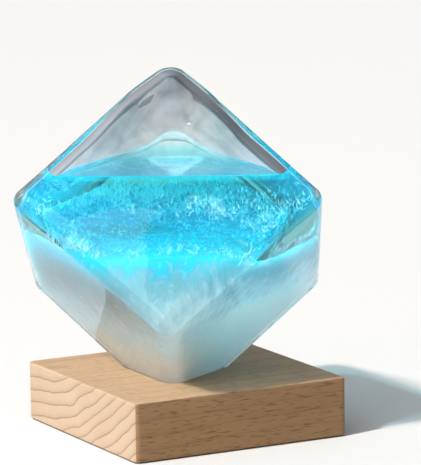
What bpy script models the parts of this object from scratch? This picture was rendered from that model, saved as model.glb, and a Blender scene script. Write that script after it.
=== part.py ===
"""Storm glass: a sealed glass cube that stands on one corner in a square block of beech.

The cube is about two thirds full of a clear blue solution. White camphor crystals lie in
its lower half, a settled bed with loose fronds standing on it. The cube isn't fixed to the
block: it sits in a three-sided pocket and lifts straight up out of it.

The block is centred on the origin and stands on z = 0, with its sides along X and Y.
Units are metres, +Z is up.
"""

import math

import bmesh
import bpy
from mathutils import Matrix, Vector

# Glass cube
CUBE_EDGE = 0.080            # between opposite outer faces
CUBE_ROUNDING = 0.0055       # radius of the outer edges
WALL = 0.0026                # glass thickness of the six panes
CAVITY_ROUNDING = 0.0058     # radius of the inner edges, so the glass is thicker along them
TIP = Vector((-0.0045, 0.0, 0.0033))  # where the cube's lowest corner would be if it were sharp
FRONT_CORNER_AZIMUTH = math.radians(-120)  # direction of the lower corner that faces the front

# Fill port in the lowest corner, hidden in the pocket; heights are above the sharp tip
FOOT_CUT = 0.0090            # the corner is ground flat here
PORT_RADIUS = 0.0036
SEAL_RECESS_RADIUS = 0.0050
SEAL_RECESS_DEPTH = 0.0016
STOPPER_LENGTH = 0.0038
STOPPER_TAPER = 0.0003       # the stopper's lower end is wider than its upper end by this radius
CAVITY_FLOOR = 0.0150        # the glass is solid from the foot up to here, except for the port

# Contents; heights are above the table
LIQUID_LEVEL = 0.0997
BED_HEIGHT = 0.0560
FROND_HEIGHT = 0.0740
SURFACE_STEP = 0.0050        # spacing of the grid that carries the crystal surfaces
SURFACE_REACH = 0.0700       # half the width of that grid

# Wooden block
BLOCK_SIDE = 0.0893
BLOCK_TOP = 0.0225
BLOCK_UNDERSIDE = 0.0004     # the pads hold the wood this far off the table
BLOCK_EASING = 0.0007        # rounding of the edges around the top and the underside
BLOCK_CORNER_ROUNDING = 0.0022  # rounding of the four upright edges

# Foot pads
PAD_RADIUS = 0.0050
PAD_THICKNESS = 0.0015
PAD_INSET = 0.0110           # pad centre to the block's sides

GAP = 0.0003                 # between neighbouring pieces
BIG = 0.200                  # size of a cutter that only has to reach past everything


def clear_scene():
    for item in list(bpy.data.objects):
        bpy.data.objects.remove(item, do_unlink=True)


def new_collection(name):
    collection = bpy.data.collections.new(name)
    bpy.context.scene.collection.children.link(collection)
    return collection


def material(name, color, roughness, metallic=0.0, transmission=0.0, ior=1.5):
    made = bpy.data.materials.new(name)
    made.use_nodes = True
    shader = made.node_tree.nodes["Principled BSDF"]
    shader.inputs["Base Color"].default_value = (*color, 1.0)
    shader.inputs["Roughness"].default_value = roughness
    shader.inputs["Metallic"].default_value = metallic
    shader.inputs["Transmission Weight"].default_value = transmission
    shader.inputs["IOR"].default_value = ior
    made.diffuse_color = (*color, 1.0)
    return made


def add_object(name, bm, collection, finish=None):
    """Turn a bmesh into a named object in one of the collections."""
    mesh = bpy.data.meshes.new(name)
    bm.to_mesh(mesh)
    bm.free()
    made = bpy.data.objects.new(name, mesh)
    collection.objects.link(made)
    if finish is not None:
        mesh.materials.append(finish)
    else:
        made.hide_render = True
        made.display_type = "WIRE"
    return made


def box(name, collection, size, centre, finish=None):
    bm = bmesh.new()
    bmesh.ops.create_cube(bm, size=1.0, matrix=Matrix.Diagonal((*size, 1.0)))
    made = add_object(name, bm, collection, finish)
    made.location = centre
    return made


def upright_rounded_box(name, collection, size, rounding, centre, finish):
    """A box whose four upright edges are rounded."""
    bm = bmesh.new()
    bmesh.ops.create_cube(bm, size=1.0, matrix=Matrix.Diagonal((*size, 1.0)))
    upright = [e for e in bm.edges if abs(e.verts[0].co.z - e.verts[1].co.z) > size[2] / 2]
    bmesh.ops.bevel(bm, geom=upright, offset=rounding, segments=4, profile=0.5, affect="EDGES")
    made = add_object(name, bm, collection, finish)
    made.location = centre
    return made


def cylinder(name, collection, lower_radius, upper_radius, low, high, finish=None, segments=32):
    """A round bar or cone along local Z, from height low to height high."""
    bm = bmesh.new()
    bmesh.ops.create_cone(bm, cap_ends=True, segments=segments, radius1=lower_radius,
                          radius2=upper_radius, depth=high - low,
                          matrix=Matrix.Translation((0.0, 0.0, (low + high) / 2)))
    return add_object(name, bm, collection, finish)


def bevel(target, width, segments):
    modifier = target.modifiers.new("rounded edges", "BEVEL")
    modifier.width = width
    modifier.segments = segments
    modifier.limit_method = "ANGLE"


def boolean(target, operation, cutter):
    modifier = target.modifiers.new(operation.lower() + " " + cutter.name, "BOOLEAN")
    modifier.operation = operation
    modifier.solver = "EXACT"
    modifier.object = cutter


# --- Where the cube stands -----------------------------------------------------------------

def on_corner_matrix():
    """Stands a cube that is centred on its own origin on one corner, sharp tip at z = 0."""
    diagonal = Vector((1.0, 1.0, 1.0)).rotation_difference(Vector((0.0, 0.0, 1.0))).to_matrix().to_4x4()
    lower_corner = diagonal @ Vector((1.0, -1.0, -1.0))
    spin = FRONT_CORNER_AZIMUTH - math.atan2(lower_corner.y, lower_corner.x)
    lift = Matrix.Translation((0.0, 0.0, CUBE_EDGE * math.sqrt(3.0) / 2))
    return lift @ Matrix.Rotation(spin, 4, "Z") @ diagonal


def rounded_cube(name, collection, carrier, edge, rounding, segments, finish=None):
    """A cube on its corner, concentric with the glass cube and carried with it."""
    bm = bmesh.new()
    bmesh.ops.create_cube(bm, size=edge)
    made = add_object(name, bm, collection, finish)
    made.parent = carrier
    made.matrix_basis = on_corner_matrix()
    bevel(made, rounding, segments)
    return made


# --- Crystal surfaces ----------------------------------------------------------------------

def bed_surface(x, y):
    """Height of the settled bed: a shallow mound, higher on the left."""
    mound = 0.0030 * math.exp(-(x * x + y * y) / 0.0009)
    ripple = 0.0008 * math.sin(170.0 * x + 40.0 * y) * math.cos(150.0 * y - 30.0 * x)
    return BED_HEIGHT + mound + ripple - 0.030 * x


def frond_surface(x, y):
    """Height of the loose crystal fronds: short ridges that cross at a slant."""
    ridges = 0.0016 * math.sin(520.0 * x + 260.0 * y) * math.sin(610.0 * y - 190.0 * x)
    hump = 0.0022 * math.sin(95.0 * x + 0.6) * math.cos(80.0 * y)
    return FROND_HEIGHT + ridges + hump


def block_under(name, collection, surface, lift=0.0):
    """A closed block that fills everything below a height surface."""
    bm = bmesh.new()
    steps = round(2 * SURFACE_REACH / SURFACE_STEP)
    bmesh.ops.create_grid(bm, x_segments=steps, y_segments=steps, size=SURFACE_REACH)
    top_faces = list(bm.faces)
    top_points = list(bm.verts)
    floor = bmesh.ops.extrude_face_region(bm, geom=top_faces, use_keep_orig=True)
    for point in top_points:
        point.co.z = surface(point.co.x, point.co.y) + lift
    for item in floor["geom"]:
        if isinstance(item, bmesh.types.BMVert):
            item.co.z = -BIG / 4
    bmesh.ops.triangulate(bm, faces=bm.faces)
    bmesh.ops.recalc_face_normals(bm, faces=bm.faces)
    return add_object(name, bm, collection)


# --- The pieces ----------------------------------------------------------------------------

def make_carrier(collection):
    """The empty at the sharp tip, on the line that the cube lifts along."""
    carrier = bpy.data.objects.new("vessel_lift_axis", None)
    carrier.empty_display_size = 0.02
    carrier.location = TIP
    collection.objects.link(carrier)
    return carrier


def carried(piece, carrier):
    piece.parent = carrier
    return piece


def floor_under(name, collection, carrier, top):
    """A cutter that removes everything below a height above the sharp tip."""
    return carried(box(name, collection, (BIG, BIG, BIG), (0.0, 0.0, top - BIG / 2)), carrier)


def make_glass(parts, cutters, carrier):
    glass = rounded_cube("glass_vessel", parts, carrier, CUBE_EDGE, CUBE_ROUNDING, 4,
                         material("clear glass", (0.93, 0.97, 0.97), 0.02, transmission=1.0))
    cavity = rounded_cube("cavity_cutter", cutters, carrier, CUBE_EDGE - 2 * WALL, CAVITY_ROUNDING, 5)
    boolean(cavity, "DIFFERENCE", floor_under("cavity_floor_cutter", cutters, carrier, CAVITY_FLOOR))
    foot = floor_under("foot_cutter", cutters, carrier, FOOT_CUT)
    port = carried(cylinder("port_cutter", cutters, PORT_RADIUS, PORT_RADIUS, 0.0, CUBE_EDGE / 2), carrier)
    recess = carried(cylinder("seal_recess_cutter", cutters, SEAL_RECESS_RADIUS, SEAL_RECESS_RADIUS,
                              0.0, FOOT_CUT + SEAL_RECESS_DEPTH), carrier)
    for cutter in (cavity, foot, port, recess):
        boolean(glass, "DIFFERENCE", cutter)


def make_port_fittings(parts, carrier):
    """The soft stopper that closes the fill port, and the resin seal poured over it."""
    seal_top = FOOT_CUT + SEAL_RECESS_DEPTH - GAP
    stopper_low = seal_top + 2 * GAP
    stopper_radius = PORT_RADIUS - GAP
    carried(cylinder("fill_stopper", parts, stopper_radius, stopper_radius - STOPPER_TAPER,
                     stopper_low, stopper_low + STOPPER_LENGTH,
                     material("white silicone", (0.85, 0.85, 0.83), 0.5)), carrier)
    carried(cylinder("stopper_seal", parts, SEAL_RECESS_RADIUS - GAP, SEAL_RECESS_RADIUS - GAP,
                     FOOT_CUT, seal_top, material("clear resin", (0.80, 0.80, 0.76), 0.2)), carrier)


def make_contents(parts, cutters, carrier):
    """The solution and the two layers of crystals, each a slice of the space inside the glass."""
    inside = CUBE_EDGE - 2 * (WALL + GAP)
    rounding = CAVITY_ROUNDING - GAP
    crystal = material("camphor crystals", (0.86, 0.93, 0.95), 0.6)
    liquid = material("blue solution", (0.02, 0.62, 0.80), 0.05, transmission=1.0, ior=1.36)

    bed = rounded_cube("settled_crystals", parts, carrier, inside, rounding, 4, crystal)
    fronds = rounded_cube("crystal_fronds", parts, carrier, inside, rounding, 4, crystal)
    solution = rounded_cube("storm_solution", parts, carrier, inside, rounding, 4, liquid)

    boolean(bed, "INTERSECT", block_under("bed_cutter", cutters, bed_surface))
    boolean(bed, "DIFFERENCE", floor_under("bed_floor_cutter", cutters, carrier, CAVITY_FLOOR + GAP))
    boolean(fronds, "INTERSECT", block_under("frond_cutter", cutters, frond_surface))
    boolean(fronds, "DIFFERENCE", block_under("bed_clearance_cutter", cutters, bed_surface, GAP))
    level = box("level_cutter", cutters, (BIG, BIG, BIG), (0.0, 0.0, LIQUID_LEVEL - BIG / 2))
    boolean(solution, "INTERSECT", level)
    boolean(solution, "DIFFERENCE", block_under("frond_clearance_cutter", cutters, frond_surface, GAP))


def make_block(parts, cutters, carrier):
    height = BLOCK_TOP - BLOCK_UNDERSIDE
    block = upright_rounded_box("wooden_base", parts, (BLOCK_SIDE, BLOCK_SIDE, height), BLOCK_CORNER_ROUNDING,
                                (0.0, 0.0, BLOCK_UNDERSIDE + height / 2),
                                material("beech", (0.66, 0.44, 0.26), 0.55))
    bevel(block, BLOCK_EASING, 2)
    pocket = rounded_cube("pocket_cutter", cutters, carrier, CUBE_EDGE + 2 * GAP, CUBE_ROUNDING + GAP, 4)
    floor = floor_under("pocket_floor_cutter", cutters, carrier, FOOT_CUT - GAP)
    boolean(pocket, "DIFFERENCE", floor)
    boolean(block, "DIFFERENCE", pocket)
    return block


def make_pads(parts, cutters, block):
    """Four thin pads under the block, each in a shallow round socket."""
    rubber = material("clear rubber", (0.62, 0.62, 0.60), 0.5)
    reach = BLOCK_SIDE / 2 - PAD_INSET
    corners = {"front_left": (-1, -1), "front_right": (1, -1), "back_right": (1, 1), "back_left": (-1, 1)}
    for corner, (side_x, side_y) in corners.items():
        place = (side_x * reach, side_y * reach, 0.0)
        pad = cylinder("foot_pad_" + corner, parts, PAD_RADIUS, PAD_RADIUS, 0.0, PAD_THICKNESS, rubber)
        socket = cylinder("socket_cutter_" + corner, cutters, PAD_RADIUS + GAP, PAD_RADIUS + GAP,
                          -PAD_THICKNESS, PAD_THICKNESS + GAP)
        pad.location = place
        socket.location = place
        boolean(block, "DIFFERENCE", socket)


def main():
    clear_scene()
    parts = new_collection("storm_glass")
    cutters = new_collection("cutters")
    carrier = make_carrier(parts)
    make_glass(parts, cutters, carrier)
    make_port_fittings(parts, carrier)
    make_contents(parts, cutters, carrier)
    block = make_block(parts, cutters, carrier)
    make_pads(parts, cutters, block)


main()
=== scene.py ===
"""Looks of the storm glass: clear glass, blue solution, camphor crystals and a beech block."""

import math
import random

import bmesh
import bpy
from mathutils import Matrix, Vector, noise


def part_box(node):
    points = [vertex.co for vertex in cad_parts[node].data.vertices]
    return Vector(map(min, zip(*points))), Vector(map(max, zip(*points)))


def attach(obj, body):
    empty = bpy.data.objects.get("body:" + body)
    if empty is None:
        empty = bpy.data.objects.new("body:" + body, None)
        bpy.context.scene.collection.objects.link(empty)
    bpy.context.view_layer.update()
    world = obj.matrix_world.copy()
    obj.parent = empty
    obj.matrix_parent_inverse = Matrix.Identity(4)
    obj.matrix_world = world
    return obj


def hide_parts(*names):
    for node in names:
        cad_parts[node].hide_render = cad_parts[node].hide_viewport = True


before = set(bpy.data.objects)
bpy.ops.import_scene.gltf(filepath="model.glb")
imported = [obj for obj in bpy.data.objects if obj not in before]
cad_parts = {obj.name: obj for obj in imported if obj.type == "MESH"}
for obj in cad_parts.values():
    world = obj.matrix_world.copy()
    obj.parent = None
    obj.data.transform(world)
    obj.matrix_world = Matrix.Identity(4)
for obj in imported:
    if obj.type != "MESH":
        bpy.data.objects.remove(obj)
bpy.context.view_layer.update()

# --- Driving values, in metres ---------------------------------------------------------------

# Glass
EDGE = 0.080                 # outer faces of the glass cube
CAD_ROUNDING = 0.0055        # rounding of the cube in the CAD model
EDGE_ROUNDING = 0.0055       # rounding of the visible glass
APEX_ROUNDING = 0.0065       # the top corner is a little rounder
WALL = 0.0026
CAVITY_ROUNDING = 0.0055
APEX_INNER_ROUNDING = 0.0042
BACK_ROUNDING = 0.0070       # inner rounding of the edge at the back
FOOT_HEIGHT = 0.0090         # above the sharp tip, where the lowest corner is ground flat
CAVITY_FLOOR = 0.0150        # above the sharp tip, where the inside starts
OUTER_WAVE = (0.0002, 40.0, 1.3)   # unevenness of the outside: height, waves per metre, seed
INNER_WAVE = (0.0004, 45.0, 3.1)   # and of the inside
SWELL = 0.0028               # the upper half of the hand-worked glass bulges outward
SWELL_LEAN = Vector((-0.0009, -0.0004, 0.0))
SWELL_LOW = 0.046            # the bulge grows between these two heights
SWELL_HIGH = 0.094
SWELL_EASE = 0.012           # closer to the axis than this, the bulge fades out
APEX_LIFT = 0.0010           # the top corner is drawn up, between the next two heights
APEX_LIFT_LOW = 0.110
APEX_LIFT_HIGH = 0.138
PORT_RADIUS = 0.0036         # fill port, closed by the stopper
SEAL_RADIUS = 0.0050
SEAL_DEPTH = 0.0016
CUT_MARGIN = 0.0010          # how far the cutters of the port reach past the glass
ARC_STEPS = 8                # mesh steps over half a rounding
FLAT_STEPS = 22              # mesh steps over the flat of a face

# Liquid
LIQUID_GAP = 0.00004         # between the wetted glass and the liquid's own surface
MENISCUS_HEIGHT = 0.0016     # how far the liquid climbs all along the glass
MENISCUS_REACH = 0.0022
CREEP_HEIGHT = 0.0080        # how far the liquid climbs in the narrow corner at the back
CREEP_REACH = 0.0100
CREEP_FROM_AXIS = 0.0400     # from the vessel's axis to the middle of that climb
LEVEL_RINGS = 14             # mesh rings between the wall and the middle of the level

# Crystals
BED_LEVEL = 0.0735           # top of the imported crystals
BED_GAP = 0.0003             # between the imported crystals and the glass
BED_SHEET_HALF = 0.07        # half the side of the sheet that shapes the top of the bed
BED_SHEET_STEPS = 160
BED_SHEET_FLOOR = -0.02      # the sheet is drawn down to a block that reaches below the glass
ROOT_DEPTH = 0.0005          # how deep the needles sit in the bed
WALL_MARGIN = 0.0007         # between the loose crystals and the glass
BED_NEEDLE_GROUPS = 2600
BED_NEEDLE_SEED = 7
WALL_FEATHER_SEED = 21
FEATHER_SHARE = 0.35         # of what grows on the panes; the rest are single needles
BARB_SPACING = 0.0005
THICKEST_AT = 0.35           # share of a needle's length
MOST_TRIES = 200000

# Clear materials; "passes" is the share of a lamp's light that goes through
GLASS_IOR = 1.50
LIQUID_IOR = 1.36
GLASS_PASSES = (0.86, 0.86, 0.86)
LEVEL_PASSES = (0.95, 0.95, 0.95)
SOLUTION_PASSES = (0.62, 0.80, 0.84)
SOLUTION_COLOR = (0.08, 0.80, 0.82, 1.0)
SOLUTION_DENSITY = 38.0
WHITE = (1.0, 1.0, 1.0)
BLACK = (0.0, 0.0, 0.0)

# Packed crystals, from the foot to the top: place in the bed and display colour
BED_COLORS = ((0.00, (206, 208, 202)), (0.25, (176, 204, 210)), (0.50, (124, 162, 172)),
              (0.66, (100, 150, 162)), (0.77, (92, 156, 172)), (0.82, (50, 162, 184)),
              (0.845, (0, 170, 204)))

# Wood: the pith runs along X, beside and above the block
PITH_Y = 0.050
PITH_Z = 0.135
RING_SPACING = 0.0046
WOOD_EARLY = (0.56, 0.39, 0.25)
WOOD_LATE = (0.46, 0.31, 0.185)
WOOD_RING = (0.27, 0.155, 0.085)
WOOD_STREAK = (0.44, 0.27, 0.145)
WOOD_FLECK = (0.20, 0.105, 0.05)
# Painted shade: darkens the long-grain sides that face along Y
WOOD_SIDE_SHADE = (0.58, 0.50, 0.40)
WOOD_END_LIFT = (0.95, 1.02, 1.15)
# Darkness of a growth ring, over its width
RING_PROFILE = ((0.0, 0.0), (0.55, 0.06), (0.86, 0.30), (0.93, 1.0), (0.965, 0.9), (1.0, 0.0))

# Moulded and cast parts: start of the node's name, material, colour, roughness, grain
DULL_PARTS = (("foot_pad", "pad rubber", (0.30, 0.30, 0.29), 0.8, 0.6),
              ("fill_stopper", "silicone", (0.72, 0.72, 0.69), 0.45, 0.2),
              ("stopper_seal", "resin", (0.62, 0.61, 0.55), 0.2, 0.1))

# Stage
FLOOR_SIZE = 6.0
FLOOR_Z = -0.0001            # just under the pads
FLOOR_COLOR = (0.66, 0.66, 0.66, 1.0)
ROOM_COLOR = (0.93, 0.96, 1.0, 1.0)
ROOM_GLOW = {"From Min": -0.5, "From Max": 0.9, "To Min": 0.16, "To Max": 0.9}
WINDOW_SIDE = (-0.93, 0.25, 0.27)   # the side of the room that is brightest
SUN_SIDE = Vector((-0.646, -0.147, 0.749))
SUN_STRENGTH = 4.0
SUN_ANGLE = math.radians(1.5)
SUN_COLOR = (1.0, 0.96, 0.90)
SOFTBOX_PLACE = Vector((-0.75, -0.35, 0.75))
SOFTBOX_SIZE = 0.7
SOFTBOX_WATTS = 2.0

# Camera
VIEW_AZIMUTH = math.radians(-27.84)
VIEW_ELEVATION = math.radians(12.93)
VIEW_DISTANCE = 1.45
VIEW_TARGET = Vector((0.0090, -0.0047, 0.0749))
VIEW_ROLL = math.radians(-0.68)
LENS_MM = 295.0
SENSOR_MM = 36.0

# Light paths: the glass and the liquid lie many surfaces deep
MOST_BOUNCES = 24
GLOSSY_BOUNCES = 16

# Values that follow from the frame
glass_low, glass_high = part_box("glass_vessel")
HALF = EDGE / 2
CORE = EDGE - 2 * CAD_ROUNDING
AXIS_X = glass_high.x - (CORE * math.sqrt(2 / 3) + CAD_ROUNDING)
AXIS_Y = (glass_low.y + glass_high.y) / 2
CENTRE = Vector((AXIS_X, AXIS_Y, glass_high.z - (CORE * math.sqrt(3) / 2 + CAD_ROUNDING)))
TIP_Z = CENTRE.z - EDGE * math.sqrt(3) / 2
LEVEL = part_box("storm_solution")[1].z
RIM_Z = LEVEL + MENISCUS_HEIGHT
FRONT_CORNER_AZIMUTH = math.radians(-120)
BACK_SIDE = Vector((math.cos(math.radians(60)), math.sin(math.radians(60)), 0.0))
BACK_CORNER = CENTRE + BACK_SIDE * CREEP_FROM_AXIS


def on_corner_matrix():
    """Stands a cube that is centred on its own origin on one corner, at the vessel's place."""
    upward = Vector((0.0, 0.0, 1.0))
    diagonal = Vector((1.0, 1.0, 1.0)).rotation_difference(upward).to_matrix().to_4x4()
    lower_corner = diagonal @ Vector((1.0, -1.0, -1.0))
    spin = FRONT_CORNER_AZIMUTH - math.atan2(lower_corner.y, lower_corner.x)
    return Matrix.Translation(CENTRE) @ Matrix.Rotation(spin, 4, "Z") @ diagonal


STAND = on_corner_matrix()
UNSTAND = STAND.inverted()


def smooth(value, low, high):
    """0 at low and 1 at high, with an easy start and end."""
    share = max(0.0, min(1.0, (value - low) / (high - low)))
    return share * share * (3 - 2 * share)


def swell(point):
    """How far a point of the upright cube is moved: hand-worked glass is never quite true."""
    share = max(0.0, min(1.0, (point.z - SWELL_LOW) / (SWELL_HIGH - SWELL_LOW)))
    outward = Vector((point.x - CENTRE.x, point.y - CENTRE.y, 0.0))
    away = min(1.0, outward.length / SWELL_EASE)
    moved = (outward.normalized() * SWELL + SWELL_LEAN) * share * away
    return moved + Vector((0.0, 0.0, APEX_LIFT * smooth(point.z, APEX_LIFT_LOW, APEX_LIFT_HIGH)))


def creep(x, y):
    """Height to which the liquid climbs above its level near the corner at the back."""
    away = math.hypot(x - BACK_CORNER.x, y - BACK_CORNER.y)
    return CREEP_HEIGHT * math.exp(-(away / CREEP_REACH) ** 2)


def cut_at_rim(bm, faces, **options):
    """Cuts the faces along the upper rim of the wetted glass, which follows the creep."""
    corners = list(dict.fromkeys(v for f in faces for v in f.verts))
    sides = list(dict.fromkeys(e for f in faces for e in f.edges))
    for v in corners:
        v.co.z -= creep(v.co.x, v.co.y)
    around = corners + sides + list(faces)
    bmesh.ops.bisect_plane(bm, geom=around, plane_co=(0, 0, RIM_Z), plane_no=(0, 0, 1), **options)


# --- Mesh helpers ----------------------------------------------------------------------------

def new_object(name, mesh, *materials):
    made = bpy.data.objects.new(name, mesh)
    bpy.context.scene.collection.objects.link(made)
    for item in materials:
        mesh.materials.append(item)
    return made


def lattice_positions(half, rounding):
    """Places along one side of a face: close together over the rounding, wider on the flat."""
    flat_half = half - rounding
    tangents = [math.tan(math.radians(45) * i / ARC_STEPS) for i in range(1, ARC_STEPS + 1)]
    arc = [flat_half + rounding * tangent for tangent in tangents]
    flat = [flat_half * (2 * i / FLAT_STEPS - 1) for i in range(FLAT_STEPS + 1)]
    return [-p for p in reversed(arc)] + flat + arc


def rounded_point(point, half, rounding_at):
    """Moves a point of the sharp cube onto the rounded cube."""
    rounding = rounding_at(point)
    limit = half - rounding
    core = Vector([max(-limit, min(limit, c)) for c in point])
    return core + (point - core).normalized() * rounding


def rounded_shell(bm, half, rounding, rounding_at, floor_z, shape):
    """A dense rounded cube, standing on its corner and cut flat below floor_z.

    rounding spaces the mesh, rounding_at(point) is the rounding itself, and
    shape(point, outward) moves each point a little.
    """
    steps = lattice_positions(half, rounding)
    last = len(steps) - 1
    corners = {}

    def corner(key):
        if key not in corners:
            sharp = Vector([steps[k] for k in key])
            placed = STAND @ shape(rounded_point(sharp, half, rounding_at), sharp.normalized())
            placed += swell(placed)
            placed.z = max(placed.z, floor_z)
            corners[key] = bm.verts.new(placed)
        return corners[key]

    faces = []
    for axis in range(3):
        u_axis, v_axis = (axis + 1) % 3, (axis + 2) % 3
        for side in (0, last):
            for u in range(last):
                for v in range(last):
                    ring = []
                    for du, dv in ((0, 0), (1, 0), (1, 1), (0, 1)):
                        key = [0, 0, 0]
                        key[axis], key[u_axis], key[v_axis] = side, u + du, v + dv
                        ring.append(corner(tuple(key)))
                    if side == 0:
                        ring.reverse()
                    faces.append(bm.faces.new(ring))
    for face in faces:
        face.smooth = True
    return faces


# --- Vessel ----------------------------------------------------------------------------------

def back_faces():
    """The two axes of the cube whose faces meet in the edge from the apex down at the back."""
    ends = [Vector([-1.0 if axis == k else 1.0 for k in range(3)]) for axis in range(3)]
    along = max(range(3), key=lambda axis: (STAND @ (ends[axis] * HALF)).y)
    return [axis for axis in range(3) if axis != along]


BACK_FACES = back_faces()


def toward_apex(point):
    """0 away from the top corner of the cube, 1 at it."""
    along = point.normalized().dot(Vector((1.0, 1.0, 1.0)).normalized())
    return smooth(along, 0.80, 0.96)


def toward_back(point):
    """0 away from the edge that runs down from the apex at the back, 1 along its lower part."""
    near_edge = min(point[BACK_FACES[0]], point[BACK_FACES[1]]) / HALF
    down = -point[3 - sum(BACK_FACES)] / HALF
    return smooth(near_edge, 0.1, 0.8) * smooth(down, -0.9, 0.1)


def outer_rounding(point):
    """Rounding of the outside near a point: rounder at the apex and along the back edge."""
    side = EDGE_ROUNDING + (APEX_ROUNDING - EDGE_ROUNDING) * toward_apex(point)
    return side + (BACK_ROUNDING + WALL - side) * toward_back(point)


def inner_rounding(point):
    """Rounding of the inside near a point: tighter at the apex, rounder along the back edge."""
    side = CAVITY_ROUNDING + (APEX_INNER_ROUNDING - CAVITY_ROUNDING) * toward_apex(point)
    return side + (BACK_ROUNDING - side) * toward_back(point)


def wavy(amount, scale, seed):
    """Makes a function that moves points in and out slowly, as an uneven glass wall does."""
    offset = Vector((seed, 0.37 * seed, 1.9 * seed))

    def shape(point, outward):
        return point + outward * amount * noise.noise(point * scale + offset)

    return shape


def cavity_faces(bm, shrink):
    """The inside of the glass, made smaller by shrink on every side."""
    return rounded_shell(bm, HALF - WALL - shrink, CAVITY_ROUNDING - shrink,
                         lambda point: inner_rounding(point) - shrink,
                         TIP_Z + CAVITY_FLOOR + shrink, wavy(*INNER_WAVE))


def cylinder_mesh(bm, radius, low, high):
    middle = Matrix.Translation((CENTRE.x, CENTRE.y, (low + high) / 2))
    bmesh.ops.create_cone(bm, cap_ends=True, segments=64, radius1=radius, radius2=radius,
                          depth=high - low, matrix=middle)


def apply_boolean(target, bm, operation):
    """Combines an object with the solid in bm, and frees bm."""
    mesh = bpy.data.meshes.new("cutter")
    bm.to_mesh(mesh)
    bm.free()
    for item in target.data.materials[:1]:
        mesh.materials.append(item)
    cutter = bpy.data.objects.new("cutter", mesh)
    bpy.context.scene.collection.objects.link(cutter)
    modifier = target.modifiers.new("cut", "BOOLEAN")
    modifier.operation = operation
    modifier.solver = "EXACT"
    modifier.object = cutter
    bpy.context.view_layer.update()
    evaluated = target.evaluated_get(bpy.context.evaluated_depsgraph_get())
    target.data = bpy.data.meshes.new_from_object(evaluated)
    target.modifiers.clear()
    bpy.data.objects.remove(cutter)


def cut_port(vessel):
    """Opens the fill port and the recess of its seal in the ground-off corner."""
    foot = TIP_Z + FOOT_HEIGHT
    for radius, top in ((SEAL_RADIUS, foot + SEAL_DEPTH),
                        (PORT_RADIUS, TIP_Z + CAVITY_FLOOR + CUT_MARGIN)):
        bm = bmesh.new()
        cylinder_mesh(bm, radius, foot - CUT_MARGIN, top)
        apply_boolean(vessel, bm, "DIFFERENCE")


def make_vessel(outer, dry, wet):
    """The glass, with materials of its own for the outside and for the dry and wetted inside."""
    bm = bmesh.new()
    rounded_shell(bm, HALF, EDGE_ROUNDING, outer_rounding, TIP_Z + FOOT_HEIGHT, wavy(*OUTER_WAVE))
    inner = cavity_faces(bm, 0.0)
    bmesh.ops.reverse_faces(bm, faces=inner)
    for face in inner:
        face.material_index = 1
    cut_at_rim(bm, inner)
    inner = [f for f in bm.faces if f.material_index == 1]
    for face in inner:
        if face.calc_center_median().z < RIM_Z:
            face.material_index = 2
    for v in dict.fromkeys(v for f in inner for v in f.verts):
        v.co.z += creep(v.co.x, v.co.y)
    mesh = bpy.data.meshes.new("glass_shell")
    bm.to_mesh(mesh)
    bm.free()
    vessel = new_object("glass_shell", mesh, outer, dry, wet)
    cut_port(vessel)
    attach(vessel, "vessel")
    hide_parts("glass_vessel")


def ordered_loop(edges):
    """The vertices of one closed ring of edges, in order."""
    neighbours = {}
    for e in edges:
        a, b = e.verts
        neighbours.setdefault(a, []).append(b)
        neighbours.setdefault(b, []).append(a)
    start = edges[0].verts[0]
    loop = [start]
    before, here = None, start
    while True:
        ahead = [v for v in neighbours[here] if v is not before]
        before, here = here, ahead[0]
        if here is start:
            return loop
        loop.append(here)


def make_solution(body_material, surface_material, under_material):
    """The liquid up to just under its level, and the level itself as a skin of its own."""
    bm = bmesh.new()
    cut_at_rim(bm, cavity_faces(bm, LIQUID_GAP), clear_outer=True)
    for v in bm.verts:
        v.co.z += creep(v.co.x, v.co.y)
    loop = ordered_loop([e for e in bm.edges if e.is_boundary])
    centre = Vector((CENTRE.x, CENTRE.y, 0.0))

    def ring_points(index):
        points = []
        for v in loop:
            out = Vector((v.co.x, v.co.y, 0.0)) - centre
            inset = out.length * (1 - math.cos(math.radians(90) * index / LEVEL_RINGS))
            flat = centre + out - out.normalized() * inset
            rise = MENISCUS_HEIGHT * math.exp(-inset / MENISCUS_REACH) + creep(flat.x, flat.y)
            points.append(flat + Vector((0, 0, LEVEL + rise)))
        return points

    skin = bmesh.new()
    layers = [(bm, 0.0, loop, 0), (skin, LIQUID_GAP, None, 0), (skin, LIQUID_GAP / 2, None, 1)]
    edges_of_skin = []
    for mesh, lift, row, slot in layers:
        if row is None:
            row = [mesh.verts.new(v.co + Vector((0, 0, lift))) for v in loop]
            edges_of_skin.append(row)
        for index in range(1, LEVEL_RINGS):
            ahead = [mesh.verts.new(p + Vector((0, 0, lift))) for p in ring_points(index)]
            for i in range(len(row)):
                j = (i + 1) % len(row)
                face = mesh.faces.new((row[i], row[j], ahead[j], ahead[i]))
                face.smooth, face.material_index = True, slot
            row = ahead
        mesh.faces.new(row).material_index = slot
    top, under = edges_of_skin
    for i in range(len(top)):
        j = (i + 1) % len(top)
        skin.faces.new((top[i], top[j], under[j], under[i])).material_index = 1
    for name, made, materials in (("solution_body", bm, (body_material,)),
                                  ("solution_surface", skin, (surface_material, under_material))):
        bmesh.ops.recalc_face_normals(made, faces=made.faces)
        mesh = bpy.data.meshes.new(name)
        made.to_mesh(mesh)
        made.free()
        piece = new_object(name, mesh, *materials)
        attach(piece, "vessel")
        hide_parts("storm_solution")


# --- Crystals --------------------------------------------------------------------------------

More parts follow.
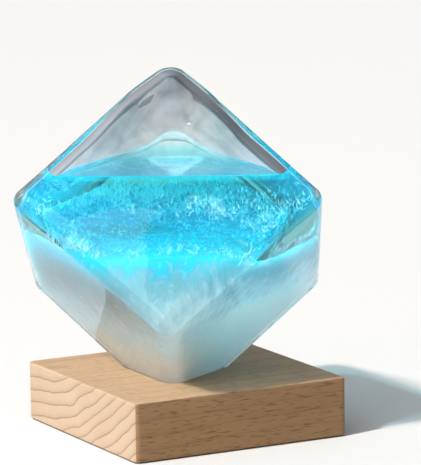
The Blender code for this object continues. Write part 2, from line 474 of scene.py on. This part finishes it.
def bed_height(x, y):
    """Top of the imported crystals: a slow hump, a fine grain, and banks to both sides and the back."""
    hump = 0.0012 * math.sin(95.0 * x + 0.6) * math.cos(80.0 * y)
    fine = 0.0007 * noise.fractal(Vector((x, y, 0.0)) * 260.0, 1.0, 2.0, 4)
    away = Vector((x - CENTRE.x, y - CENTRE.y))
    left = max(0.0, away.dot(Vector((-0.94, 0.34))) - 0.030)
    right = max(0.0, away.dot(Vector((0.85, -0.53))) - 0.034)
    back = max(0.0, away.dot(Vector((0.47, 0.88))))
    return BED_LEVEL + hump + fine + 0.30 * left + 0.15 * right + 0.05 * back


def make_bed(material):
    """The inside of the glass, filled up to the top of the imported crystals."""
    bm = bmesh.new()
    cavity_faces(bm, BED_GAP)
    mesh = bpy.data.meshes.new("crystal_bed")
    bm.to_mesh(mesh)
    bm.free()
    bed = new_object("crystal_bed", mesh, material)
    below = bmesh.new()
    bmesh.ops.create_grid(below, x_segments=BED_SHEET_STEPS, y_segments=BED_SHEET_STEPS,
                          size=BED_SHEET_HALF)
    top = list(below.verts)
    made = bmesh.ops.extrude_face_region(below, geom=list(below.faces), use_keep_orig=True)
    for v in top:
        v.co.z = bed_height(v.co.x, v.co.y)
    for g in made["geom"]:
        if isinstance(g, bmesh.types.BMVert):
            g.co.z = BED_SHEET_FLOOR
    bmesh.ops.recalc_face_normals(below, faces=below.faces)
    apply_boolean(bed, below, "INTERSECT")
    bed.data.shade_smooth()
    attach(bed, "vessel")
    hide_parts("settled_crystals")


class NeedleMesh:
    """Collects thin three-sided spindles into one mesh."""

    def __init__(self):
        self.points, self.faces = [], []

    def add(self, base, direction, length, radius):
        side = direction.orthogonal().normalized()
        other = direction.cross(side)
        first = len(self.points)
        self.points.append(base)
        for k in range(3):
            turn = 2 * math.pi * k / 3
            offset = (side * math.cos(turn) + other * math.sin(turn)) * radius
            self.points.append(base + direction * length * THICKEST_AT + offset)
        self.points.append(base + direction * length)
        for k in range(3):
            j = (k + 1) % 3
            self.faces.append((first, first + 1 + j, first + 1 + k))
            self.faces.append((first + 4, first + 1 + k, first + 1 + j))

    def feather(self, base, direction, across, length, radius, dice):
        """A spine with barbs that branch off to both sides, all near one plane."""
        self.add(base, direction, length, radius)
        barbs = 3 + int(length / BARB_SPACING)
        for k in range(1, barbs):
            start = base + direction * length * k / barbs
            for side in (-1, 1):
                way = (direction * dice.uniform(0.7, 1.3) + across * side).normalized()
                reach = length * 0.38 * (1.1 - k / barbs) * dice.uniform(0.6, 1.2)
                self.add(start, way, reach, radius * 0.6)

    def make(self, name, material):
        mesh = bpy.data.meshes.new(name)
        mesh.from_pydata([tuple(p) for p in self.points], [], self.faces)
        mesh.update()
        made = new_object(name, mesh, material)
        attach(made, "vessel")
        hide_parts("crystal_fronds")


def inside(point):
    """Whether a point lies within the glass, with room to spare."""
    return max(abs(c) for c in UNSTAND @ (point - swell(point))) < HALF - WALL - WALL_MARGIN


def make_bed_needles(material):
    """Thousands of thin crystals that stand on the bed, longest and thickest at its back right."""
    dice = random.Random(BED_NEEDLE_SEED)
    needles = NeedleMesh()
    count = 0
    while count < BED_NEEDLE_GROUPS:
        x, y = dice.uniform(-0.07, 0.06), dice.uniform(-0.06, 0.06)
        base = Vector((x, y, bed_height(x, y) - ROOT_DEPTH))
        if not inside(base):
            continue
        back = (x - CENTRE.x) * 7.0 + (y - CENTRE.y) * 19.0
        wish = 0.06 + 0.6 * max(0.0, back) + 0.2 * max(0.0, (x - CENTRE.x) / 0.05)
        if 0.35 + 0.5 * noise.noise(base * 110.0) + 0.35 * wish < dice.random():
            continue
        count += 1
        tall = (0.0016 + 0.0055 * wish) * dice.uniform(0.5, 1.2)
        for _ in range(dice.randint(3, 6)):
            lean = Vector((dice.gauss(0, 0.5), dice.gauss(0, 0.5), 1.0)).normalized()
            length = tall * dice.uniform(0.5, 1.0)
            if inside(base + lean * length):
                needles.add(base, lean, length, dice.uniform(0.00007, 0.00015))
    needles.make("bed_needles", material)


def face_direction(face):
    """Where a face of the cube, given by its local axis and side, looks."""
    axis, side = face
    return STAND.to_3x3() @ Vector([side if k == axis else 0.0 for k in range(3)])


def pane(direction):
    """The local axis and side of the cube's face that looks most nearly in a direction."""
    faces = [(axis, side) for axis in range(3) for side in (-1, 1)]
    return max(faces, key=lambda face: face_direction(face).dot(direction))


def make_wall_feathers(material):
    """Crystals that have grown on the inside of the panes."""
    dice = random.Random(WALL_FEATHER_SEED)
    needles = NeedleMesh()

    def grow(face, count, wanted, length, radius, spread):
        """Crystals on one pane, where wanted(place, local place) gives their likelihood."""
        axis, side = face
        outward = face_direction(face).normalized()
        up = (Vector((0, 0, 1)) - outward * outward.z).normalized()
        across = outward.cross(up)
        reach = HALF - WALL - 0.0012
        done = tries = 0
        while done < count and tries < MOST_TRIES:
            tries += 1
            local = Vector([dice.uniform(-reach, reach) for _ in range(3)])
            local[axis] = side * (HALF - WALL - dice.uniform(0.0009, 0.0022))
            base = STAND @ local
            base += swell(base)
            if dice.random() > wanted(base, local):
                continue
            done += 1
            sideways = across * dice.gauss(0.0, spread)
            lean = (up + sideways - outward * dice.uniform(0.0, 0.15)).normalized()
            span = length * dice.uniform(0.4, 1.2)
            if not inside(base + lean * span):
                continue
            way = outward.cross(lean).normalized()
            if dice.random() < FEATHER_SHARE:
                needles.feather(base, lean, way, span, radius, dice)
            else:
                needles.add(base, lean, span, radius)

    # The panes nearest the camera, found by where each one looks
    front = pane(Vector((-0.41, -0.71, 0.577)))
    low_left = pane(Vector((-0.816, 0.0, -0.577)))
    low_right = pane(Vector((0.41, -0.71, -0.577)))

    def hanging_band(p, local):
        """A drifting cloud of feathers on the front pane, thicker and lower to the right."""
        middle = 0.0900 - 0.0040 * smooth(p.x, -0.02, 0.03)
        depth = 0.0025 + 0.0035 * smooth(p.x, -0.03, 0.03)
        cloud = 0.5 + 0.9 * noise.noise(p * 160.0)
        return smooth(p.x, -0.045, 0.0) * math.exp(-((p.z - middle) / depth) ** 2) * max(0.0, cloud)

    def bed_rim(p, local):
        """Tufts along the line where the bed meets the pane."""
        above = p.z - bed_height(p.x, p.y) - ROOT_DEPTH
        return math.exp(-(above / 0.0018) ** 2) * (0.4 + noise.noise(p * 130.0))

    def near_edge(neighbour):
        """Frost along the edge that the front pane shares with a lower face, thinning out upward."""
        axis, side = neighbour

        def wanted(p, local):
            into = HALF - WALL - side * local[axis]
            high = smooth(p.z, 0.070, 0.078) * (1 - smooth(p.z, 0.092, 0.098))
            return high * math.exp(-into / 0.0035) * (0.5 + noise.noise(p * 150.0))

        return wanted

    grow(front, 90, near_edge(low_left), 0.0026, 0.00008, spread=1.0)
    grow(front, 90, near_edge(low_right), 0.0024, 0.00008, spread=1.0)
    grow(front, 640, hanging_band, 0.0024, 0.00007, spread=0.7)
    grow(front, 120, bed_rim, 0.0034, 0.00006, spread=0.7)
    grow(low_left, 300, bed_rim, 0.0036, 0.00010, spread=0.9)
    grow(low_right, 500, bed_rim, 0.0040, 0.00012, spread=0.9)
    needles.make("wall_feathers", material)


# --- Materials -------------------------------------------------------------------------------

class Nodes:
    """Short names for building a material's node tree."""

    def __init__(self, name):
        self.material = bpy.data.materials.new(name)
        self.material.use_nodes = True
        self.tree = self.material.node_tree
        self.shader = self.tree.nodes["Principled BSDF"]
        self.output = self.tree.nodes["Material Output"]

    def add(self, kind, **settings):
        made = self.tree.nodes.new(kind)
        for key, value in settings.items():
            setattr(made, key, value)
        return made

    def link(self, source, target):
        self.tree.links.new(source, target)

    def feed(self, target, value):
        """Sets a socket to a number or colour, or links another socket to it."""
        if isinstance(value, bpy.types.NodeSocket):
            self.link(value, target)
        else:
            target.default_value = value

    def place(self):
        """The position on the object, in metres and in the frame that all pieces share."""
        return self.add("ShaderNodeTexCoord").outputs["Object"]

    def math(self, operation, a, b=0.0, clamp=False):
        made = self.add("ShaderNodeMath", operation=operation, use_clamp=clamp)
        self.feed(made.inputs[0], a)
        self.feed(made.inputs[1], b)
        return made.outputs[0]

    def axis(self, vector, name):
        split = self.add("ShaderNodeSeparateXYZ")
        self.link(vector, split.inputs[0])
        return split.outputs[name]

    def stretch(self, vector, scale):
        mapped = self.add("ShaderNodeMapping")
        self.link(vector, mapped.inputs["Vector"])
        mapped.inputs["Scale"].default_value = scale
        return mapped.outputs[0]

    def noise(self, vector, scale, detail=2.0, roughness=0.5, distortion=0.0):
        made = self.add("ShaderNodeTexNoise")
        self.link(vector, made.inputs["Vector"])
        made.inputs["Scale"].default_value = scale
        made.inputs["Detail"].default_value = detail
        made.inputs["Roughness"].default_value = roughness
        made.inputs["Distortion"].default_value = distortion
        return made.outputs["Fac"]

    def span(self, value, low, high, new_low=0.0, new_high=1.0):
        """Maps low..high onto new_low..new_high, held at the ends."""
        made = self.add("ShaderNodeMapRange")
        self.feed(made.inputs["Value"], value)
        ends = {"From Min": low, "From Max": high, "To Min": new_low, "To Max": new_high}
        for key, number in ends.items():
            made.inputs[key].default_value = number
        return made.outputs[0]

    def ramp(self, value, stops):
        """A colour ramp over 0..1; stops are (place, colour)."""
        made = self.add("ShaderNodeValToRGB")
        band = made.color_ramp
        while len(band.elements) < len(stops):
            band.elements.new(0.5)
        for element, (place, color) in zip(band.elements, stops):
            element.position = place
            element.color = (*color, 1.0)
        self.feed(made.inputs[0], value)
        return made.outputs["Color"]

    def mix(self, factor, a, b, blend="MIX"):
        made = self.add("ShaderNodeMix", data_type="RGBA", blend_type=blend)
        self.feed(made.inputs["Factor"], factor)
        self.feed(made.inputs["A"], a if isinstance(a, bpy.types.NodeSocket) else (*a, 1.0))
        self.feed(made.inputs["B"], b if isinstance(b, bpy.types.NodeSocket) else (*b, 1.0))
        return made.outputs["Result"]

    def bump(self, height, strength, distance):
        made = self.add("ShaderNodeBump")
        made.inputs["Strength"].default_value = strength
        made.inputs["Distance"].default_value = distance
        self.link(height, made.inputs["Height"])
        self.link(made.outputs[0], self.shader.inputs["Normal"])

    def set(self, **values):
        for key, value in values.items():
            self.feed(self.shader.inputs[key.replace("_", " ")], value)

    def let_lamps_through(self, share):
        """Lamps shine straight through, dimmed to a share; what is seen through still bends."""
        path = self.add("ShaderNodeLightPath")
        clear = self.add("ShaderNodeBsdfTransparent")
        clear.inputs["Color"].default_value = (*share, 1.0)
        both = self.add("ShaderNodeMixShader")
        self.link(path.outputs["Is Shadow Ray"], both.inputs[0])
        self.link(self.shader.outputs[0], both.inputs[1])
        self.link(clear.outputs[0], both.inputs[2])
        self.link(both.outputs[0], self.output.inputs["Surface"])


def linear(red, green, blue):
    """A colour given as 0..255 display values, made linear."""
    values = [v / 255 for v in (red, green, blue)]
    return tuple(v / 12.92 if v <= 0.04045 else ((v + 0.055) / 1.055) ** 2.4 for v in values)


def glass_material(name, ior, tinted=None):
    """Clear glass; tinted(nodes), if given, makes its colour."""
    n = Nodes(name)
    n.set(Base_Color=(*WHITE, 1.0), Roughness=0.0, Transmission_Weight=1.0, IOR=ior)
    if tinted is not None:
        n.set(Base_Color=tinted(n))
    n.let_lamps_through(GLASS_PASSES)
    return n.material


def painted_upper_shade(n):
    """Painted shade: the outside is faintly grey above the liquid, darker toward the top, and clear
    below it.
    """
    height = n.span(n.axis(n.place(), "Z"), LEVEL - 0.002, LEVEL + 0.012)
    top = n.span(n.axis(n.place(), "Z"), LEVEL + 0.012, glass_high.z)
    return n.mix(height, WHITE, n.mix(top, (0.84, 0.86, 0.88), (0.66, 0.68, 0.71)))


def wet_glass_material():
    """The wetted inside of the glass, with painted light: a bright blue line that glows where the
    liquid's level meets it.
    """
    n = Nodes("wetted inside of the glass")
    height = n.axis(n.place(), "Z")
    below_rim = n.span(height, RIM_Z + 0.0012, RIM_Z)
    # Painted light: a blue tint and glow along the level
    line = n.math("MULTIPLY", n.span(height, LEVEL - 0.0006, LEVEL + 0.0004), below_rim)
    n.set(Base_Color=n.mix(line, WHITE, (0.45, 0.90, 0.97)), Roughness=0.0, Transmission_Weight=1.0,
          IOR=GLASS_IOR / LIQUID_IOR, Emission_Strength=1.0,
          Emission_Color=n.mix(line, BLACK, (0.0, 0.22, 0.28)))
    n.let_lamps_through(GLASS_PASSES)
    return n.material


def painted_dry_shade(n):
    """Painted shade on the dry inside: grey, darker toward the apex and in slow clouds."""
    place = n.place()
    height = n.span(n.axis(place, "Z"), LEVEL, glass_high.z)
    clouds = n.noise(n.stretch(place, (1.0, 1.0, 0.6)), 46.0, 3.0, 0.6, 0.5)
    shade = n.math("ADD", n.math("MULTIPLY", height, 0.50), n.span(clouds, 0.46, 0.66, 0.0, 0.55),
                   clamp=True)
    return n.ramp(shade, [(0.0, (0.99, 0.99, 1.0)), (0.45, (0.66, 0.67, 0.69)),
                          (1.0, (0.20, 0.21, 0.22))])


def surface_material():
    """The level of the liquid: it mirrors a little at a low angle; painted light makes it glow faintly
    cyan and its creep glow paler.
    """
    n = Nodes("solution surface")
    grazing = n.add("ShaderNodeLayerWeight").outputs["Facing"]
    dome = n.span(n.axis(n.place(), "Z"), LEVEL + 0.0016, LEVEL + 0.0050)
    # Painted light: the emission glows faintly cyan on the level and paler grey on the creep
    n.set(Base_Color=(0.93, 0.96, 0.97, 1.0), Roughness=0.08, Transmission_Weight=1.0, IOR=LIQUID_IOR,
          Metallic=n.span(grazing, 0.45, 0.80, 0.0, 0.20), Emission_Strength=1.0,
          Emission_Color=n.mix(dome, (0.02, 0.20, 0.25), (0.42, 0.38, 0.36)))
    n.let_lamps_through(LEVEL_PASSES)
    return n.material


def solution_material():
    n = Nodes("solution body")
    n.set(Base_Color=(*WHITE, 1.0), Roughness=0.0, Transmission_Weight=1.0, IOR=1.0)
    absorb = n.add("ShaderNodeVolumeAbsorption")
    absorb.inputs["Color"].default_value = SOLUTION_COLOR
    absorb.inputs["Density"].default_value = SOLUTION_DENSITY
    n.link(absorb.outputs["Volume"], n.output.inputs["Volume"])
    n.let_lamps_through(SOLUTION_PASSES)
    return n.material


def crystal_needle_material():
    """Pale where the needles stand free at the back right, cyan with the liquid toward the front left,
    with a faint painted cyan glow.
    """
    n = Nodes("crystal needles")
    place = n.place()
    right = n.math("MULTIPLY", n.axis(place, "X"), 0.6)
    back = n.math("MULTIPLY", n.axis(place, "Y"), 0.8)
    uneven = n.span(n.noise(place, 90.0, 2.0), 0.3, 0.7, -0.02, 0.02)
    where = n.span(n.math("ADD", n.math("ADD", right, back), uneven), -0.02, 0.035)
    # Painted light: a faint cyan glow from the emission
    n.set(Base_Color=n.mix(where, linear(0, 214, 248), linear(225, 248, 252)), Roughness=0.4,
          Specular_IOR_Level=0.15, Emission_Color=(0.0, 0.06, 0.08, 1.0), Emission_Strength=1.0)
    return n.material


def feather_material():
    n = Nodes("wall feathers")
    place = n.place()
    clouds = n.span(n.noise(place, 160.0, 2.0), 0.35, 0.65)
    white = n.math("ADD", clouds, n.span(n.axis(place, "Z"), 0.081, 0.076), clamp=True)
    n.set(Base_Color=n.mix(white, linear(20, 196, 226), linear(160, 228, 240)), Roughness=0.4,
          Specular_IOR_Level=0.3)
    return n.material


def crystal_material():
    """Packed crystals: cyan with the liquid at the top of the bed, fading to a cloudy pale blue-grey
    below; painted light adds glows, bright caustic lines and a paler lower right.
    """
    n = Nodes("packed crystals")
    place = n.place()
    wisps = n.noise(n.stretch(place, (1.0, 1.0, 0.28)), 330.0, 4.0, 0.6, 0.3)
    clouds = n.noise(place, 38.0, 3.0, 0.55)
    height = n.math("ADD", n.axis(place, "Z"), n.span(wisps, 0.3, 0.7, -0.0030, 0.0030))
    height = n.math("ADD", height, n.span(clouds, 0.3, 0.7, -0.0025, 0.0025))
    level = n.span(height, 0.030, 0.080)
    color = n.ramp(level, [(stop, linear(*shade)) for stop, shade in BED_COLORS])
    # Painted light: the low part of the bed toward the right is made paler and bluer
    across = n.math("MULTIPLY", n.axis(place, "X"), 0.87)
    rightward = n.math("SUBTRACT", across, n.math("MULTIPLY", n.axis(place, "Y"), 0.5))
    low = n.span(height, 0.066, 0.050)
    color = n.mix(n.math("MULTIPLY", n.span(rightward, -0.008, 0.018), low), color, (0.80, 0.97, 1.0))
    fleck_noise = n.noise(n.stretch(place, (1.0, 1.0, 0.5)), 420.0, 3.0, 0.7, 1.0)
    color = n.mix(n.span(fleck_noise, 0.55, 0.75, 0.0, 0.35), color, linear(170, 205, 212))
    # Painted light: thin bright caustic lines over the lower part of the bed
    painted_caustic = n.math("SUBTRACT", n.noise(n.stretch(place, (1.0, 1.0, 1.6)), 95.0, 3.0, 0.55, 0.8), 0.5)
    painted_caustic_line = n.span(n.math("ABSOLUTE", painted_caustic), 0.0, 0.03, 0.2, 0.0)
    painted_caustic_below = n.math("MULTIPLY", painted_caustic_line, n.span(height, 0.052, 0.036))
    color = n.mix(painted_caustic_below, color, linear(245, 248, 248))
    # Painted light: the emission makes the top of the bed glow faintly cyan, its lower right glow blue,
    # and its low part glow a little more
    painted_top_glow = n.mix(n.span(height, 0.070, 0.075), BLACK, (0.0, 0.02, 0.04))
    painted_lower_right_glow = n.math("MULTIPLY", n.span(rightward, 0.000, 0.022), n.span(height, 0.078, 0.062))
    glow = n.mix(painted_lower_right_glow, painted_top_glow, (0.08, 0.24, 0.31))
    n.set(Emission_Color=n.mix(low, glow, n.mix(1.0, glow, (0.055, 0.050, 0.045), "ADD")),
          Emission_Strength=1.0)
    n.set(Base_Color=color, Roughness=0.55, Specular_IOR_Level=0.1, Subsurface_Weight=1.0,
          Subsurface_Radius=(0.7, 1.0, 1.1), Subsurface_Scale=0.045)
    n.bump(n.noise(place, 500.0, 4.0, 0.6), 0.5, 0.0005)
    return n.material


def wood_material():
    """Beech: growth rings around a distant pith, long grain along X with short dark flecks, and painted
    shade on the long-grain sides that face along Y.
    """
    n = Nodes("beech block")
    place = n.place()
    sway = n.noise(n.stretch(place, (0.25, 1.0, 1.0)), 75.0, 3.0, 0.55)
    slow = n.noise(n.stretch(place, (0.2, 1.0, 1.0)), 22.0, 2.0, 0.5)
    across = n.math("SUBTRACT", n.axis(place, "Y"), PITH_Y)
    below = n.math("SUBTRACT", n.axis(place, "Z"), PITH_Z)
    squares = [n.math("MULTIPLY", part, part) for part in (across, below)]
    distance = n.math("SQRT", n.math("ADD", *squares))
    distance = n.math("ADD", distance, n.span(sway, 0.25, 0.75, -0.0007, 0.0007))
    distance = n.math("ADD", distance, n.span(slow, 0.3, 0.7, -0.0016, 0.0016))
    season = n.math("FRACT", n.math("DIVIDE", distance, RING_SPACING))

    geometry = n.add("ShaderNodeNewGeometry")
    end_grain = n.span(n.math("ABSOLUTE", n.axis(geometry.outputs["Normal"], "X")), 0.55, 0.85)

    pale_noise = n.noise(n.stretch(place, (0.3, 1.0, 1.0)), 60.0, 3.0, 0.6)
    pale = n.mix(pale_noise, WOOD_EARLY, WOOD_LATE)
    ring_line = n.ramp(season, [(stop, (grey,) * 3) for stop, grey in RING_PROFILE])
    line_strength = n.mix(end_grain, (0.40,) * 3, (0.95,) * 3)
    ringed = n.mix(n.mix(1.0, ring_line, line_strength, "MULTIPLY"), pale, WOOD_RING)

    fleck_noise = n.noise(n.stretch(place, (0.10, 1.0, 1.0)), 2000.0, 2.0, 0.5)
    flecks = n.span(fleck_noise, 0.575, 0.66, 0.0, 1.0)
    streaks = n.noise(n.stretch(place, (0.03, 1.0, 1.0)), 240.0, 4.0, 0.6)
    long_grain = n.mix(n.span(streaks, 0.35, 0.7, 0.0, 0.55), ringed, WOOD_STREAK)
    long_grain = n.mix(n.math("MULTIPLY", flecks, 0.65), long_grain, WOOD_FLECK)
    pores = n.noise(place, 1500.0, 2.0, 0.6)
    cut_end = n.mix(n.span(pores, 0.5, 0.75, 0.0, 0.35), ringed, WOOD_STREAK)
    cut_end = n.mix(1.0, cut_end, WOOD_END_LIFT, "MULTIPLY")
    # Painted shade: the long-grain sides that face along Y are darkened by WOOD_SIDE_SHADE
    side = n.span(n.math("ABSOLUTE", n.axis(geometry.outputs["Normal"], "Y")), 0.4, 0.8)
    long_grain = n.mix(side, long_grain, n.mix(1.0, long_grain, WOOD_SIDE_SHADE, "MULTIPLY"))
    n.set(Base_Color=n.mix(end_grain, long_grain, cut_end), Roughness=0.58, Specular_IOR_Level=0.3)
    dips = n.mix(flecks, (0.6,) * 3, BLACK)
    ridges = n.mix(ring_line, (0.6,) * 3, (0.4,) * 3)
    n.bump(n.mix(end_grain, dips, ridges), 0.3, 0.0003)
    return n.material


def dull_material(name, color, roughness, grain):
    """A plain moulded or cast surface with a fine grain."""
    n = Nodes(name)
    place = n.place()
    darker = tuple(0.82 * c for c in color)
    patches = n.span(n.noise(place, 400.0, 3.0), 0.35, 0.65)
    n.set(Base_Color=n.mix(patches, color, darker), Roughness=roughness)
    n.bump(n.noise(place, 1800.0, 3.0), grain, 0.0001)
    return n.material


def dress(node_start, material):
    """Gives the CAD nodes that stay in the scene, and whose names start so, a better material."""
    for name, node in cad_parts.items():
        if name.startswith(node_start):
            node.data.materials.clear()
            node.data.materials.append(material)


# --- Stage -----------------------------------------------------------------------------------

def make_floor():
    bpy.ops.mesh.primitive_plane_add(size=FLOOR_SIZE, location=(0.0, 0.0, FLOOR_Z))
    floor = bpy.context.object
    floor.name = "floor"
    paint = bpy.data.materials.new("floor paint")
    paint.use_nodes = True
    shader = paint.node_tree.nodes["Principled BSDF"]
    shader.inputs["Base Color"].default_value = FLOOR_COLOR
    shader.inputs["Roughness"].default_value = 0.9
    floor.data.materials.append(paint)


def make_room():
    """A pale room around the object, brighter on the side of its window."""
    world = bpy.data.worlds.new("studio")
    world.use_nodes = True
    tree = world.node_tree
    back = tree.nodes["Background"]
    direction = tree.nodes.new("ShaderNodeTexCoord").outputs["Generated"]
    toward = tree.nodes.new("ShaderNodeVectorMath")
    toward.operation = "DOT_PRODUCT"
    tree.links.new(direction, toward.inputs[0])
    toward.inputs[1].default_value = WINDOW_SIDE
    glow = tree.nodes.new("ShaderNodeMapRange")
    tree.links.new(toward.outputs["Value"], glow.inputs["Value"])
    for key, number in ROOM_GLOW.items():
        glow.inputs[key].default_value = number
    tree.links.new(glow.outputs[0], back.inputs["Strength"])
    back.inputs["Color"].default_value = ROOM_COLOR
    bpy.context.scene.world = world


def make_lamp(name, kind, toward):
    """A lamp of one kind that shines from the side it is toward; returns its data and object."""
    light = bpy.data.lights.new(name, kind)
    holder = bpy.data.objects.new(name, light)
    bpy.context.scene.collection.objects.link(holder)
    holder.rotation_euler = toward.to_track_quat("Z", "Y").to_euler()
    return light, holder


def make_lamps():
    sun, _ = make_lamp("sun", "SUN", SUN_SIDE)
    sun.energy = SUN_STRENGTH
    sun.angle = SUN_ANGLE
    sun.color = SUN_COLOR
    area, holder = make_lamp("left softbox", "AREA", SOFTBOX_PLACE - CENTRE)
    area.shape = "RECTANGLE"
    area.size = area.size_y = SOFTBOX_SIZE
    area.energy = SOFTBOX_WATTS
    holder.location = SOFTBOX_PLACE


def make_camera():
    camera = bpy.data.objects.new("camera", bpy.data.cameras.new("camera"))
    bpy.context.scene.collection.objects.link(camera)
    camera.data.lens = LENS_MM
    camera.data.sensor_width = SENSOR_MM
    back = Vector((math.sin(VIEW_AZIMUTH) * math.cos(VIEW_ELEVATION),
                   -math.cos(VIEW_AZIMUTH) * math.cos(VIEW_ELEVATION), math.sin(VIEW_ELEVATION)))
    place = back * VIEW_DISTANCE
    look = (place - VIEW_TARGET).to_track_quat("Z", "Y").to_matrix().to_4x4()
    camera.matrix_world = Matrix.Translation(place) @ look @ Matrix.Rotation(VIEW_ROLL, 4, "Z")
    bpy.context.scene.camera = camera


def main():
    outer = glass_material("clear glass", GLASS_IOR, tinted=painted_upper_shade)
    dry = glass_material("dry inside of the glass", GLASS_IOR, tinted=painted_dry_shade)
    wet = wet_glass_material()
    make_vessel(outer, dry, wet)
    make_solution(solution_material(), surface_material(), glass_material("under the surface", 1.0))
    make_bed(crystal_material())
    make_bed_needles(crystal_needle_material())
    make_wall_feathers(feather_material())
    dress("wooden_base", wood_material())
    for node_start, name, color, roughness, grain in DULL_PARTS:
        dress(node_start, dull_material(name, color, roughness, grain))
    make_floor()
    make_room()
    make_lamps()
    make_camera()


main()
bpy.context.scene.view_settings.view_transform = "Standard"
bpy.context.scene.cycles.max_bounces = MOST_BOUNCES
bpy.context.scene.cycles.transmission_bounces = MOST_BOUNCES
bpy.context.scene.cycles.glossy_bounces = GLOSSY_BOUNCES
